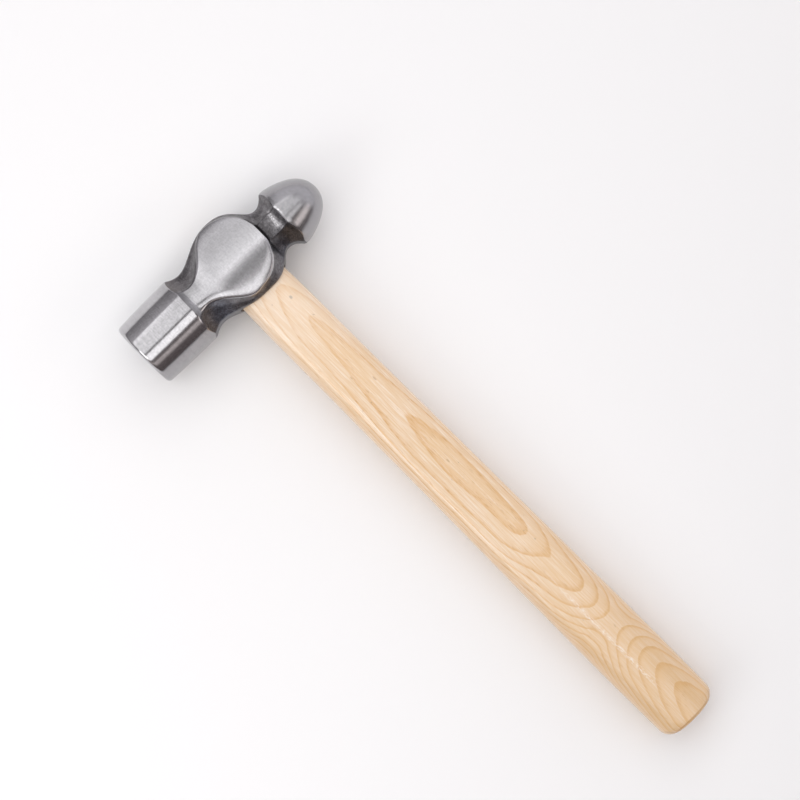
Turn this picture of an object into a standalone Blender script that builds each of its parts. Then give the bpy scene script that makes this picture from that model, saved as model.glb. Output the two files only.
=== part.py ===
"""Ball peen hammer of the two pound size: a forged head, an ash handle and the three wedges that lock them.

Frame, in metres: the hammer lies on its side on z = 0. The head runs along X, striking face at -X and peen
at +X. The handle runs along -Y from the eye to the butt. The origin is on the lower cheek, right below the
point where the handle's axis crosses the head's axis.
"""

import math

import bpy
import numpy as np

MM = 0.001

# Driving dimensions, in millimetres. Stations along the head are measured from the handle's axis.
FACE_X = -70.2            # striking face
PEEN_TIP_X = 57.0
CHEEK_HALF_THICKNESS = 20.2
BARREL_RADIUS = 20.0
BARREL_TAPER = 0.7        # radius lost between the barrel's rear and the face's edge
BARREL_TAPER_LENGTH = 27.0
FACE_EDGE_RADIUS = 2.3
FACE_CROWN = 0.35         # how far the face falls from its flat middle to its rounded edge
FACE_FLAT_RADIUS = 8.0
PEEN_RADIUS = 17.9
PEEN_WIDEST_X = 34.8
PEEN_FLANK = 0.055        # share of the radius by which the flank is drawn in from a true ellipse

CHEEK_APEX_X = -1.3       # where the dome is highest
CHEEK_CENTRE_X = -2.4     # of the cheek's outline, which is slightly squarer than round
CHEEK_CENTRE_Y = 1.9
CHEEK_RADIUS = 21.5
CHEEK_POWER = 2.2
CHEEK_DOME_RADIUS = 57.0
CHEEK_FLAT_RADIUS = 6.5   # the middle of the dome is flat, so that the hammer lies still
CHEEK_WALL_X = 18.6       # where the cheek ends above the peen's neck
NECK_ADVANCE = 1.7        # how much sooner the neck thins above and below than at its sides
CHEEK_WALL_SLOPE = 2.2

EYE_HALF_LENGTH = 14.9    # the eye is an oval hole along Y, narrowest in the middle
EYE_HALF_WIDTH = 9.7
EYE_FLARE_LENGTH = 1.9    # what the oval gains at each mouth
EYE_FLARE_WIDTH = 1.1
EYE_MOUTH_Y = 24.0
OVAL_POWER = 2.35         # superellipse power of the eye and of the handle

FIT_GAP = 0.3
TRIM_BELOW_CROWN = 0.6    # the tenon's end follows the head's crown this far below it

BUTT_Y = -335.0
BUTT_CORNER_RADIUS = 6.4  # of the end's outline, seen from above the cheek
BUTT_ARRIS_RADIUS = 1.4   # across the end's two long edges
BUTT_CROWN = 0.7          # how far the end falls from its flat middle to its edge
BUTT_FLAT_SHARE = 0.5

KERF_DEPTH_Y = -12.0
WOOD_WEDGE_TIP_Y = -8.0
WOOD_WEDGE_HALF_LENGTH = (14.2, 15.4)  # at the tip and at the crown
WOOD_WEDGE_TOP = 2.3      # half thicknesses, at the crown and at the tip
WOOD_WEDGE_TIP = 0.6
STEEL_WEDGE_X = (-7.0, 7.0)
STEEL_WEDGE_TIP_Y = 3.0
STEEL_WEDGE_HALF_WIDTH = 6.8
STEEL_WEDGE_TOP = 1.3
STEEL_WEDGE_TIP = 0.3

# Reach of the helpers that only cut: past the part that they cut.
ABOVE_CROWN_Y = 30.0      # the tenon and the wooden wedge are drawn up to here, then trimmed
CUTTER_TOP_Y = 40.0
CUTTER_REACH = 20.0       # along X and Z, to each side
CUTTER_OVERLAP = 2.0

# Outlines through the stations that shape them, as (x, value) in millimetres.
SIDE_OUTLINE = [          # half height of the head between its barrel and its peen, along Y
    (-37.0, 21.4), (-34.2, 18.9), (-31.0, 17.2), (-27.0, 16.45), (-20.0, 18.1), (-12.0, 21.6), (-5.0, 23.85),
    (1.0, 24.4), (8.0, 23.5), (13.5, 20.9), (18.0, 16.9), (21.5, 13.8), (24.8, 12.75), (28.7, 13.9),
    (31.3, 16.1), (33.8, 19.2)]
HANDLE_LIP_DROP = 1.6     # the side that the handle enters is lower by this, round the eye
HANDLE_LIP_WIDTH = 12.0
SIDE_FLAT = [             # half width, along Z, of the flat strip that the eye opens through
    (-37.0, 7.2), (-27.0, 6.6), (-18.0, 9.0), (-8.0, 11.6), (2.0, 12.1), (10.0, 11.0), (17.0, 7.6),
    (24.8, 5.1), (33.8, 5.8)]
CHEEK_APEX = CHEEK_HALF_THICKNESS + CHEEK_FLAT_RADIUS ** 2 / (2 * CHEEK_DOME_RADIUS)
CHEEK_OUTLINE = [         # half thickness on the head's axis, from the barrel up to the cheek's dome
    (-37.0, 21.5), (-34.2, 18.9), (-30.5, 17.1), (-27.0, 16.6), (-20.0, 17.7), (-10.0, 19.9),
    (CHEEK_APEX_X, CHEEK_APEX)]
FLUTE_DEPTH = [           # how far the forged flutes between flat and cheek are hollowed
    (-37.0, -1.2), (-33.0, 0.0), (-27.0, 0.7), (-15.0, 1.1), (0.0, 0.5), (14.0, 0.9), (20.0, 1.1),
    (25.0, 0.25), (30.0, 0.0), (33.8, -0.5)]
WAIST_X = -27.5
WAIST_CHEEK_HALF_WIDTH = 6.5
WAIST_SPREAD = 0.042      # quadratic widening of the ground strip from the waist to the barrel
NECK_CHEEK_HALF_WIDTH = 5.4
HANDLE_HALF_WIDTH = [     # along X, from the eye to the butt, as (y, value)
    (BUTT_Y, 17.15), (-300.0, 17.5), (-270.0, 17.5), (-220.0, 17.1), (-160.0, 16.6), (-100.0, 16.2),
    (-60.0, 16.0), (-24.0, 15.7), (0.0, 14.6)]
HANDLE_HALF_THICKNESS = [
    (BUTT_Y, 12.7), (-300.0, 12.9), (-240.0, 12.5), (-150.0, 11.6), (-60.0, 10.8), (-24.0, 10.3), (0.0, 9.4)]

# Mesh steps.
FLAT_STEPS, FLUTE_STEPS, CHEEK_STEPS = 2, 3, 4
QUADRANT_POINTS = FLAT_STEPS + FLUTE_STEPS + CHEEK_STEPS + 1
BARREL_STEPS, FACE_EDGE_STEPS, PEEN_STEPS = 3, 3, 9
EYE_STEPS, OVAL_STEPS, CROWN_CUT_STEPS = 8, 40, 16
BUTT_DEPTHS = (0.0, 0.4, 1.4, 3.2, BUTT_CORNER_RADIUS)
GRIP_STATIONS = (
    -318.0, -300.0, -270.0, -235.0, -200.0, -165.0, -130.0, -95.0, -60.0, -40.0, -30.0, -24.0, -18.0, -12.0,
    -6.0, 0.0, 6.0, 12.0, 18.0, 24.0, ABOVE_CROWN_Y)
MIDDLE_STATIONS = (
    -37.0, -35.5, -34.0, -32.0, -29.5, -26.5, -23.0, -19.0, -15.0, -11.0, -7.0, -3.0, 1.0, 5.0, 9.0, 12.5,
    15.5, 17.2, CHEEK_WALL_X, 19.6, 21.4, 24.2, 27.0, 29.0, 31.0, 32.5)
LEFT_WARP_X, RIGHT_WARP_X = -23.0, 27.0
RIM_SEARCH = 24


def smooth_curve(points):
    """A natural cubic spline through (position, value) points, as a function of position."""
    at, value = np.array(sorted(points), float).T
    step = np.diff(at)
    slope = np.diff(value) / step
    matrix = np.eye(len(at))
    right = np.zeros(len(at))
    for i in range(1, len(at) - 1):
        matrix[i, i - 1:i + 2] = step[i - 1], 2 * (step[i - 1] + step[i]), step[i]
        right[i] = 6 * (slope[i] - slope[i - 1])
    bend = np.linalg.solve(matrix, right)

    def curve(x):
        i = int(np.clip(np.searchsorted(at, x) - 1, 0, len(step) - 1))
        a, b, h = at[i + 1] - x, x - at[i], step[i]
        cubic = (bend[i] * a ** 3 + bend[i + 1] * b ** 3) / (6 * h)
        left, right = value[i] / h - bend[i] * h / 6, value[i + 1] / h - bend[i + 1] * h / 6
        return float(cubic + left * a + right * b)

    return curve


side_outline = smooth_curve(SIDE_OUTLINE)
side_flat = smooth_curve(SIDE_FLAT)
cheek_outline = smooth_curve(CHEEK_OUTLINE)
flute_depth = smooth_curve(FLUTE_DEPTH)
handle_half_width = smooth_curve(HANDLE_HALF_WIDTH)
handle_half_thickness = smooth_curve(HANDLE_HALF_THICKNESS)


def smooth_step(value, low, high):
    share = min(1.0, max(0.0, (value - low) / (high - low)))
    return share ** 2 * (3 - 2 * share)


def barrel_radius(x):
    """The striking barrel, slightly narrower at its face."""
    past = max(0.0, FACE_X + FACE_EDGE_RADIUS + BARREL_TAPER_LENGTH - x)
    return BARREL_RADIUS - BARREL_TAPER * (past / BARREL_TAPER_LENGTH) ** 2


def peen_radius(x):
    """The peen: half an ellipse whose flank is drawn in a little, so that it comes to a blunt point."""
    share = min(1.0, max(0.0, (x - PEEN_WIDEST_X) / (PEEN_TIP_X - PEEN_WIDEST_X)))
    return PEEN_RADIUS * (math.sqrt(1 - share ** 2) - PEEN_FLANK * math.sin(math.pi * share))


def cheek_height(x):
    """Half thickness on the head's axis: up to the dome's apex, the dome, then the wall down to the neck."""
    if x <= CHEEK_APEX_X:
        return cheek_outline(x)
    past = min(x, CHEEK_WALL_X) - CHEEK_APEX_X
    dome = CHEEK_APEX - past ** 2 / (2 * CHEEK_DOME_RADIUS)
    neck = side_outline(x + NECK_ADVANCE * (1 - smooth_step(x, CHEEK_WALL_X, RIGHT_WARP_X)))
    return max(neck, dome - CHEEK_WALL_SLOPE * max(0.0, x - CHEEK_WALL_X))


def cheek_half_width(x):
    """Half width, along Y, of the ground cheek, or of the flat above the peen's neck."""
    if x < WAIST_X:
        return WAIST_CHEEK_HALF_WIDTH + WAIST_SPREAD * (x - WAIST_X) ** 2
    if x < CHEEK_CENTRE_X:
        share = smooth_step(x, WAIST_X, CHEEK_CENTRE_X)
        return WAIST_CHEEK_HALF_WIDTH + (CHEEK_RADIUS - WAIST_CHEEK_HALF_WIDTH) * share
    along = min(1.0, (x - CHEEK_CENTRE_X) / CHEEK_RADIUS)
    return max(NECK_CHEEK_HALF_WIDTH, CHEEK_RADIUS * (1 - along ** CHEEK_POWER) ** (1 / CHEEK_POWER))


def cheek_edge(x, side):
    """Where the cheek ends on the crown's side (+1) or on the handle's (-1), counted outwards along Y."""
    starts = smooth_step(x, -24.0, -8.0) if side > 0 else smooth_step(x, -12.0, 2.0)
    ends = 1 - smooth_step(x, CHEEK_WALL_X - 2.6, CHEEK_WALL_X + 2.4)
    return cheek_half_width(x) + side * CHEEK_CENTRE_Y * starts * ends


def cheek_crown(x):
    """How fast the cheek falls away across the head; the neck's flats are flat."""
    return 0.0 if x > CHEEK_WALL_X else 1 / (2 * CHEEK_DOME_RADIUS)


def quadrant(x, side):
    """The head's section at x as points (y, z) from the side flat up to the cheek's middle.

    side is +1 for the crown's side and -1 for the handle's; y counts outwards on both."""
    flat_y, flat_z = side_outline(x), side_flat(x)
    if side < 0:
        flat_y -= HANDLE_LIP_DROP * math.exp(-(x / HANDLE_LIP_WIDTH) ** 2)
    width, height, crown = cheek_edge(x, side), cheek_height(x), cheek_crown(x)
    corner = np.array([flat_y, flat_z])
    edge = np.array([width, height - crown * width ** 2])
    chord = edge - corner
    inward = np.array([chord[1], -chord[0]]) / np.linalg.norm(chord)
    inward *= -np.sign(inward @ corner)
    points = [(flat_y, flat_z * i / FLAT_STEPS) for i in range(FLAT_STEPS)]
    for i in range(FLUTE_STEPS):
        share = i / FLUTE_STEPS
        points.append(tuple(corner + chord * share + inward * 4 * share * (1 - share) * flute_depth(x)))
    for i in range(CHEEK_STEPS + 1):
        y = width * (1 - i / CHEEK_STEPS)
        domed = height - crown * y ** 2
        points.append((y, min(domed, CHEEK_HALF_THICKNESS) if x > WAIST_X else domed))
    return points


def rim_station(line, radius_at, inside, outside):
    """The station between inside and outside where a line along the head meets a turned surface."""
    for _ in range(RIM_SEARCH):
        middle = (inside + outside) / 2
        if math.hypot(*line(middle)) < radius_at(middle):
            inside = middle
        else:
            outside = middle
    return (inside + outside) / 2


def quadrant_lines(side):
    """The quadrant's points at every station, as one line along the head for each, their ends on the rims."""
    lines = []
    for k in range(QUADRANT_POINTS):
        def line(x, k=k):
            return quadrant(x, side)[k]
        left = rim_station(line, barrel_radius, LEFT_WARP_X, MIDDLE_STATIONS[0])
        right = rim_station(line, lambda x: PEEN_RADIUS, RIGHT_WARP_X, SIDE_OUTLINE[-1][0])
        left_stretch = (left - LEFT_WARP_X) / (MIDDLE_STATIONS[0] - LEFT_WARP_X)
        right_stretch = (right - RIGHT_WARP_X) / (MIDDLE_STATIONS[-1] - RIGHT_WARP_X)
        points = []
        for x in MIDDLE_STATIONS:
            if x < LEFT_WARP_X:
                x = LEFT_WARP_X + (x - LEFT_WARP_X) * left_stretch
            elif x > RIGHT_WARP_X:
                x = RIGHT_WARP_X + (x - RIGHT_WARP_X) * right_stretch
            points.append((x, *line(x)))
        lines.append(points)
    return lines


def middle_rings():
    """The faceted stretch of the head, whose two ends lie exactly on the barrel and on the peen."""
    crown, under = quadrant_lines(1), quadrant_lines(-1)
    rings = []
    for i in range(len(MIDDLE_STATIONS)):
        top = [line[i] for line in crown]
        top += [(x, -y, z) for x, y, z in (line[i] for line in under[-2::-1])]
        rings.append(top + [(x, y, -z) for x, y, z in top[-2:0:-1]])
    return rings


def turned_point(like, x, radius):
    """The point of a turned surface at station x, at the same angle as another point."""
    _, y, z = like
    return x, radius * y / math.hypot(y, z), radius * z / math.hypot(y, z)


def turned_ring(like, x, radius):
    """A round ring at station x whose points keep the angles of the ring they continue."""
    return [turned_point(point, x, radius) for point in like]


def barrel_rings(rim):
    """The barrel from the middle's rim to the face's flat disc, last ring first."""
    edge_x = FACE_X + FACE_CROWN + FACE_EDGE_RADIUS
    rings = []
    for i in range(1, BARREL_STEPS + 1):
        stations = [x + (edge_x - x) * i / BARREL_STEPS for x, _, _ in rim]
        rings.append([turned_point(point, x, barrel_radius(x)) for point, x in zip(rim, stations)])
    edge_radius = barrel_radius(edge_x)
    for i in range(1, FACE_EDGE_STEPS + 1):
        angle = math.pi / 2 * i / FACE_EDGE_STEPS
        x = edge_x - FACE_EDGE_RADIUS * math.sin(angle)
        rings.append(turned_ring(rim, x, edge_radius - FACE_EDGE_RADIUS * (1 - math.cos(angle))))
    rings.append(turned_ring(rim, FACE_X, FACE_FLAT_RADIUS))
    return rings[::-1]


def peen_rings(rim):
    """The peen from its base's rim to the last ring before its tip."""
    rings = []
    for i in range(PEEN_STEPS):
        share = math.sin(math.pi / 2 * i / PEEN_STEPS)
        x = PEEN_WIDEST_X + (PEEN_TIP_X - PEEN_WIDEST_X) * share
        rings.append(turned_ring(rim, x, peen_radius(x)))
    return rings


def superellipse(half_length, half_width, steps):
    """Points (x, z) round an oval."""
    points = []
    for i in range(steps):
        angle = 2 * math.pi * i / steps
        c, s = math.cos(angle), math.sin(angle)
        points.append((half_length * math.copysign(abs(c) ** (2 / OVAL_POWER), c),
                       half_width * math.copysign(abs(s) ** (2 / OVAL_POWER), s)))
    return points


def eye_size(y):
    """The eye's half length and half width at a height in the head."""
    share = (y / EYE_MOUTH_Y) ** 2
    return EYE_HALF_LENGTH + EYE_FLARE_LENGTH * share, EYE_HALF_WIDTH + EYE_FLARE_WIDTH * share


def tenon_size(y):
    """The handle's half width and half thickness, which follow the eye above its middle."""
    if y > 0:
        length, width = eye_size(y)
        return length - FIT_GAP, width - FIT_GAP
    return handle_half_width(y), handle_half_thickness(y)


def add_object(name, points, faces, material=None):
    """An object from points in millimetres measured from the middle of the head, with outward normals."""
    mesh = bpy.data.meshes.new(name)
    up = CHEEK_HALF_THICKNESS
    mesh.from_pydata([(x * MM, y * MM, (z + up) * MM) for x, y, z in points], [], faces)
    mesh.validate()
    obj = bpy.data.objects.new(name, mesh)
    bpy.context.scene.collection.objects.link(obj)
    if material:
        mesh.materials.append(material)
    return obj


def tube(name, rings, first_tip=None, last_tip=None, material=None):
    """One closed body skinned over rings of equal count, each end a flat face or a fan to its tip."""
    count = len(rings[0])
    points = [point for one in rings for point in one]
    faces = []
    for r in range(len(rings) - 1):
        for i in range(count):
            j = (i + 1) % count
            a, b = r * count, (r + 1) * count
            faces.append((a + i, a + j, b + j, b + i))
    for tip, start, flip in ((first_tip, 0, True), (last_tip, (len(rings) - 1) * count, False)):
        around = [start + i for i in range(count)]
        if tip is None:
            faces.append(tuple(around[::-1] if flip else around))
            continue
        points.append(tip)
        for i in range(count):
            pair = (around[i], around[(i + 1) % count])
            faces.append((*(pair[::-1] if flip else pair), len(points) - 1))
    return add_object(name, points, faces, material)


def wedge(name, along, across, tip_y, top_y, material=None):
    """A wedge pointing down -Y. along and across are (x or z) half sizes, each as (at tip, at top)."""
    rings = []
    for level, y in ((0, tip_y), (1, top_y)):
        a, b = along[level], across[level]
        rings.append([(a, y, -b), (a, y, b), (-a, y, b), (-a, y, -b)])
    return tube(name, rings, material=material)


def seat_half_thickness(tip, top, tip_y, top_y, end_y):
    """Half thickness at end_y, past a wedge's top, of a seat that keeps the fit's gap beside the wedge."""
    return top + (top - tip) / (top_y - tip_y) * (end_y - top_y) + FIT_GAP


def make_cutter(obj):
    """Marks a helper that only cuts other pieces."""
    obj.hide_render = True
    obj.display_type = "WIRE"
    return obj


def cut(obj, cutter):
    """Subtracts a cutter from an object."""
    modifier = obj.modifiers.new("cut_" + cutter.name, "BOOLEAN")
    modifier.operation = "DIFFERENCE"
    modifier.solver = "EXACT"
    modifier.object = cutter


def face_outwards(obj):
    """Turns the faces of a closed body so that they point out."""
    volume = 0.0
    for face in obj.data.polygons:
        corners = [obj.data.vertices[i].co for i in face.vertices]
        for second, third in zip(corners[1:], corners[2:]):
            volume += corners[0].dot(second.cross(third))
    if volume < 0:
        obj.data.flip_normals()


def shade(obj, sharp_angle=35):
    """Smooth shading with edges kept."""
    obj.data.shade_smooth()
    obj.data.set_sharp_from_angle(angle=math.radians(sharp_angle))


def make_material(name, colour, roughness, metallic):
    material = bpy.data.materials.new(name)
    material.use_nodes = True
    shader = material.node_tree.nodes["Principled BSDF"]
    shader.inputs["Base Color"].default_value = (*colour, 1)
    shader.inputs["Roughness"].default_value = roughness
    shader.inputs["Metallic"].default_value = metallic
    return material


def make_head(material):
    """The forged head: barrel, waist, domed cheeks, octagonal neck and peen, with the eye cut through."""
    middle = middle_rings()
    rings = barrel_rings(middle[0]) + middle + peen_rings(middle[-1])
    head = tube("head", rings, last_tip=(PEEN_TIP_X, 0, 0), material=material)
    face_outwards(head)
    reach = EYE_MOUTH_Y + CUTTER_OVERLAP
    oval_rings = []
    for i in range(EYE_STEPS + 1):
        y = -reach + 2 * reach * i / EYE_STEPS
        oval_rings.append([(x, y, z) for x, z in superellipse(*eye_size(y), OVAL_STEPS)])
    eye = make_cutter(tube("eye_cutter", oval_rings))
    face_outwards(eye)
    cut(head, eye)
    shade(head)
    return head


def crown_cutter():
    """The space above the line, a little below the head's crown, to which the tenon and wedge are trimmed."""
    stations = [-CUTTER_REACH + 2 * CUTTER_REACH * i / CROWN_CUT_STEPS for i in range(CROWN_CUT_STEPS + 1)]
    outline = [(x, side_outline(x) - TRIM_BELOW_CROWN) for x in stations]
    outline += [(CUTTER_REACH, CUTTER_TOP_Y), (-CUTTER_REACH, CUTTER_TOP_Y)]
    rings = [[(x, y, z) for x, y in outline] for z in (-CUTTER_REACH, CUTTER_REACH)]
    cutter = make_cutter(tube("crown_cutter", rings))
    face_outwards(cutter)
    return cutter


def rounded_inset(depth, radius):
    """How far a rounded edge lies in from the side, at a depth from the end."""
    left = max(0.0, radius - depth)
    return radius - math.sqrt(radius ** 2 - left ** 2)


def oval_ring(half_width, half_thickness, y):
    return [(x, y, z) for x, z in superellipse(half_width, half_thickness, OVAL_STEPS)]


def handle_rings():
    """Ovals from the butt's flat end to above the crown."""
    flat_width = handle_half_width(BUTT_Y) * BUTT_FLAT_SHARE
    flat_thickness = handle_half_thickness(BUTT_Y) * BUTT_FLAT_SHARE
    rings = [oval_ring(flat_width, flat_thickness, BUTT_Y)]
    for depth in BUTT_DEPTHS:
        y = BUTT_Y + BUTT_CROWN + depth
        half_width = handle_half_width(y) - rounded_inset(depth, BUTT_CORNER_RADIUS)
        half_thickness = handle_half_thickness(y) - rounded_inset(depth, BUTT_ARRIS_RADIUS)
        rings.append(oval_ring(half_width, half_thickness, y))
    for y in GRIP_STATIONS:
        rings.append(oval_ring(*tenon_size(y), y))
    return rings


def make_handle(material, crown, cutters):
    """The ash handle, with its tenon sawn for the wooden wedge, split by the steel ones and trimmed."""
    handle = tube("handle", handle_rings(), material=material)
    face_outwards(handle)
    for cutter in (*cutters, crown):
        cut(handle, cutter)
    shade(handle)
    return handle


def make_wedges(crown, wood, steel):
    """The wooden wedge along the eye and the two steel wedges across it, with the cutters that seat them."""
    thickness = (WOOD_WEDGE_TIP, WOOD_WEDGE_TOP)
    wooden = wedge("wooden_wedge", WOOD_WEDGE_HALF_LENGTH, thickness, WOOD_WEDGE_TIP_Y, ABOVE_CROWN_Y, wood)
    face_outwards(wooden)
    reach = (CUTTER_REACH, CUTTER_REACH)
    kerf_top = seat_half_thickness(*thickness, WOOD_WEDGE_TIP_Y, ABOVE_CROWN_Y, CUTTER_TOP_Y)
    kerf_tip = WOOD_WEDGE_TIP + FIT_GAP
    kerf = wedge("kerf_cutter", reach, (kerf_tip, kerf_top), WOOD_WEDGE_TIP_Y, CUTTER_TOP_Y)
    saw = wedge("saw_cutter", reach, (kerf_tip, kerf_tip), KERF_DEPTH_Y, WOOD_WEDGE_TIP_Y + CUTTER_OVERLAP)
    cutters = [make_cutter(kerf), make_cutter(saw)]
    steel_thickness = (STEEL_WEDGE_TIP, STEEL_WEDGE_TOP)
    steel_width = (STEEL_WEDGE_HALF_WIDTH, STEEL_WEDGE_HALF_WIDTH)
    seat_width = (STEEL_WEDGE_HALF_WIDTH + FIT_GAP, STEEL_WEDGE_HALF_WIDTH + FIT_GAP)
    for x, side in zip(STEEL_WEDGE_X, ("face_side", "peen_side")):
        top_y = side_outline(x) - TRIM_BELOW_CROWN - FIT_GAP
        piece = wedge("steel_wedge_" + side, steel_thickness, steel_width, STEEL_WEDGE_TIP_Y, top_y, steel)
        seat_top = seat_half_thickness(*steel_thickness, STEEL_WEDGE_TIP_Y, top_y, CUTTER_TOP_Y)
        seat_thickness = (STEEL_WEDGE_TIP + FIT_GAP, seat_top)
        seat_tip_y = STEEL_WEDGE_TIP_Y - FIT_GAP
        seat = wedge("seat_cutter_" + side, seat_thickness, seat_width, seat_tip_y, CUTTER_TOP_Y)
        for obj in (piece, seat):
            obj.location.x = x * MM
        face_outwards(piece)
        cutters.append(make_cutter(seat))
        cut(wooden, seat)
    for cutter in cutters:
        face_outwards(cutter)
    cut(wooden, crown)
    return cutters


def main():
    for obj in list(bpy.data.objects):
        bpy.data.objects.remove(obj)
    forged = make_material("forged_steel", (0.42, 0.42, 0.44), 0.35, 1.0)
    ash = make_material("ash", (0.80, 0.60, 0.38), 0.45, 0.0)
    beech = make_material("beech", (0.62, 0.42, 0.24), 0.6, 0.0)
    mild = make_material("mild_steel", (0.36, 0.36, 0.38), 0.45, 1.0)
    make_head(forged)
    crown = crown_cutter()
    cutters = make_wedges(crown, beech, mild)
    make_handle(ash, crown, cutters)


main()
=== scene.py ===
"""Looks of the ball peen hammer: a finely modelled head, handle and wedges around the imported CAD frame.

The frame is the CAD's: the hammer lies on its side on z = 0, striking face at -X, handle along -Y.
Shapes are worked out here in millimetres, measured from the middle of the head, and stored in metres.
"""

import math

import bmesh
import bpy
import numpy as np
from mathutils import Matrix, Vector


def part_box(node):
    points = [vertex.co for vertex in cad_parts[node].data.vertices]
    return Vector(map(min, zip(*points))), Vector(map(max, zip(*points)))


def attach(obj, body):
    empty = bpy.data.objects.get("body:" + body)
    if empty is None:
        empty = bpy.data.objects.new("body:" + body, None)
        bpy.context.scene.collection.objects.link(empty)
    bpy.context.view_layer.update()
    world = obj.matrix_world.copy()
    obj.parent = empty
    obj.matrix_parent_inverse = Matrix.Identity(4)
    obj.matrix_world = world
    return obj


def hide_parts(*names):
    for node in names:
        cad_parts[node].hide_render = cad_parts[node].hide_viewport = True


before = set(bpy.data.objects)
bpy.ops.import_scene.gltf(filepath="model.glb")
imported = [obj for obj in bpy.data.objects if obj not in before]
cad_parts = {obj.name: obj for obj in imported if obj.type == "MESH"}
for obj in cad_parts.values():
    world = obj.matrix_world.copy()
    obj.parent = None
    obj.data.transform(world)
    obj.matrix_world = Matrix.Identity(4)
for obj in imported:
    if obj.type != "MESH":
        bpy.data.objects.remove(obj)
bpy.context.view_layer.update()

MM = 0.001
head_low, head_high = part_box("head")
handle_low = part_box("handle")[0]
MIDDLE_Z = head_high.z / 2 / MM          # the head's axis above the floor

# Head, in millimetres. Stations along X are measured from the handle's axis.
FACE_X = head_low.x / MM
PEEN_TIP_X = head_high.x / MM
CHEEK_APEX = MIDDLE_Z
BARREL_RADIUS = 20.0
BARREL_TAPER, BARREL_TAPER_LENGTH = 0.7, 27.0
FACE_EDGE_RADIUS = 2.3
FACE_CROWN = 0.35
FACE_FLAT_RADIUS = 8.0
PEEN_RADIUS = 17.9
PEEN_WIDEST_X = 34.8
PEEN_FLANK = 0.055
CHEEK_APEX_X = -1.3
CHEEK_CENTRE_X, CHEEK_CENTRE_Y = -2.4, 1.9   # of the cheek's outline, which is slightly squarer than round
CHEEK_RADIUS, CHEEK_POWER = 21.5, 2.2
CHEEK_DOME_RADIUS = 57.0
# The cheeks are ground by hand. Two sweeps meet at a soft ridge, the flatter one on the handle's side.
CHEEK_APEX_Y = 2.0
CHEEK_RIDGE_Y = -3.9
CROWN_SWEEP_RADIUS, HANDLE_SWEEP_RADIUS = 54.0, 230.0
STRIP_END_RADIUS = 25.0   # across the ground strip where it runs into the barrel
CHEEK_SWEEP_X, CHEEK_SWEEP_LENGTH = 6.0, 20.0    # where the two sweeps differ most, and over what length
STRIP_END_X, STRIP_END_LENGTH = -34.5, 4.5
WORN_EDGE_WIDTH, WORN_EDGE_RADIUS = 6.0, 40.0
CHEEK_WALL_X = 18.6
NECK_ADVANCE = 1.7        # how much sooner the neck thins above and below than at its sides
CHEEK_WALL_SLOPE = 2.2
WAIST_X = -27.5
WAIST_CHEEK_HALF_WIDTH = 6.5
WAIST_SPREAD = 0.042
NECK_CHEEK_HALF_WIDTH = 5.4
RIDGE_ROUNDING = 1.1      # forged edge between the side flat and the flute
RIM_ROUNDING = 0.7        # ground edge between the flute and the cheek
CROWN_SIDE_ROUNDING = 2.6 # more of it beside the waist
HANDLE_SIDE_ROUNDING = 1.3

# Outlines through the stations that shape them, as (x, value) in millimetres.
SIDE_OUTLINE = [          # half height between barrel and peen, along Y
    (-37.0, 21.4), (-34.2, 18.9), (-31.0, 17.2), (-27.0, 16.45), (-20.0, 18.1), (-12.0, 21.6), (-5.0, 23.85),
    (1.0, 24.4), (8.0, 23.5), (13.5, 20.9), (18.0, 16.9), (21.5, 13.8), (24.8, 12.75), (28.7, 13.9),
    (31.3, 16.1), (33.8, 19.2)]
SIDE_FLAT = [             # half width, along Z, of the strip that the eye opens through
    (-37.0, 7.2), (-27.0, 6.6), (-18.0, 9.0), (-8.0, 11.6), (2.0, 12.1), (10.0, 11.0), (17.0, 7.6),
    (24.8, 5.1), (33.8, 5.8)]
CHEEK_OUTLINE = [         # half thickness on the head's axis, over the dome
    (-37.0, 22.2), (-34.7, 20.0), (-31.5, 17.75), (-28.5, 16.8), (-25.5, 16.7), (-20.0, 17.45),
    (-10.0, 19.5), (CHEEK_APEX_X, CHEEK_APEX), (8.0, 19.44), (14.0, 18.15), (20.2, 16.15)]
FLUTE_DEPTH = [           # hollow of the forged flutes between flat and cheek
    (-37.0, -1.2), (-33.0, 0.0), (-27.0, 0.7), (-15.0, 1.1), (0.0, 0.5), (14.0, 0.9), (20.0, 1.1),
    (25.0, 0.25), (30.0, 0.0), (33.8, -0.5)]
MIDDLE_ENDS = (-37.0, 33.8)
HANDLE_LIP_DROP, HANDLE_LIP_WIDTH = 1.6, 12.0   # how much lower the side is where the handle enters
LEFT_WARP_X, RIGHT_WARP_X = -23.0, 27.0

EYE_HALF_LENGTH, EYE_HALF_WIDTH = 14.9, 9.7
EYE_FLARE_LENGTH, EYE_FLARE_WIDTH = 1.9, 1.1
EYE_MOUTH_Y = 24.0
MOUTH_START_Y, MOUTH_WIDENING = -16.5, 0.4   # the eye's ends open out where the handle enters
OVAL_POWER = 2.35
FIT_GAP = 0.3
TRIM_BELOW_CROWN = 0.6
ABOVE_CROWN_Y = 30.0
CUTTER_HALF_SIZE = 20.0                      # wide enough to pass right through the tenon
EYE_STEPS, HANDLE_STEPS = 96, 112            # points round the eye and round the handle

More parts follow.
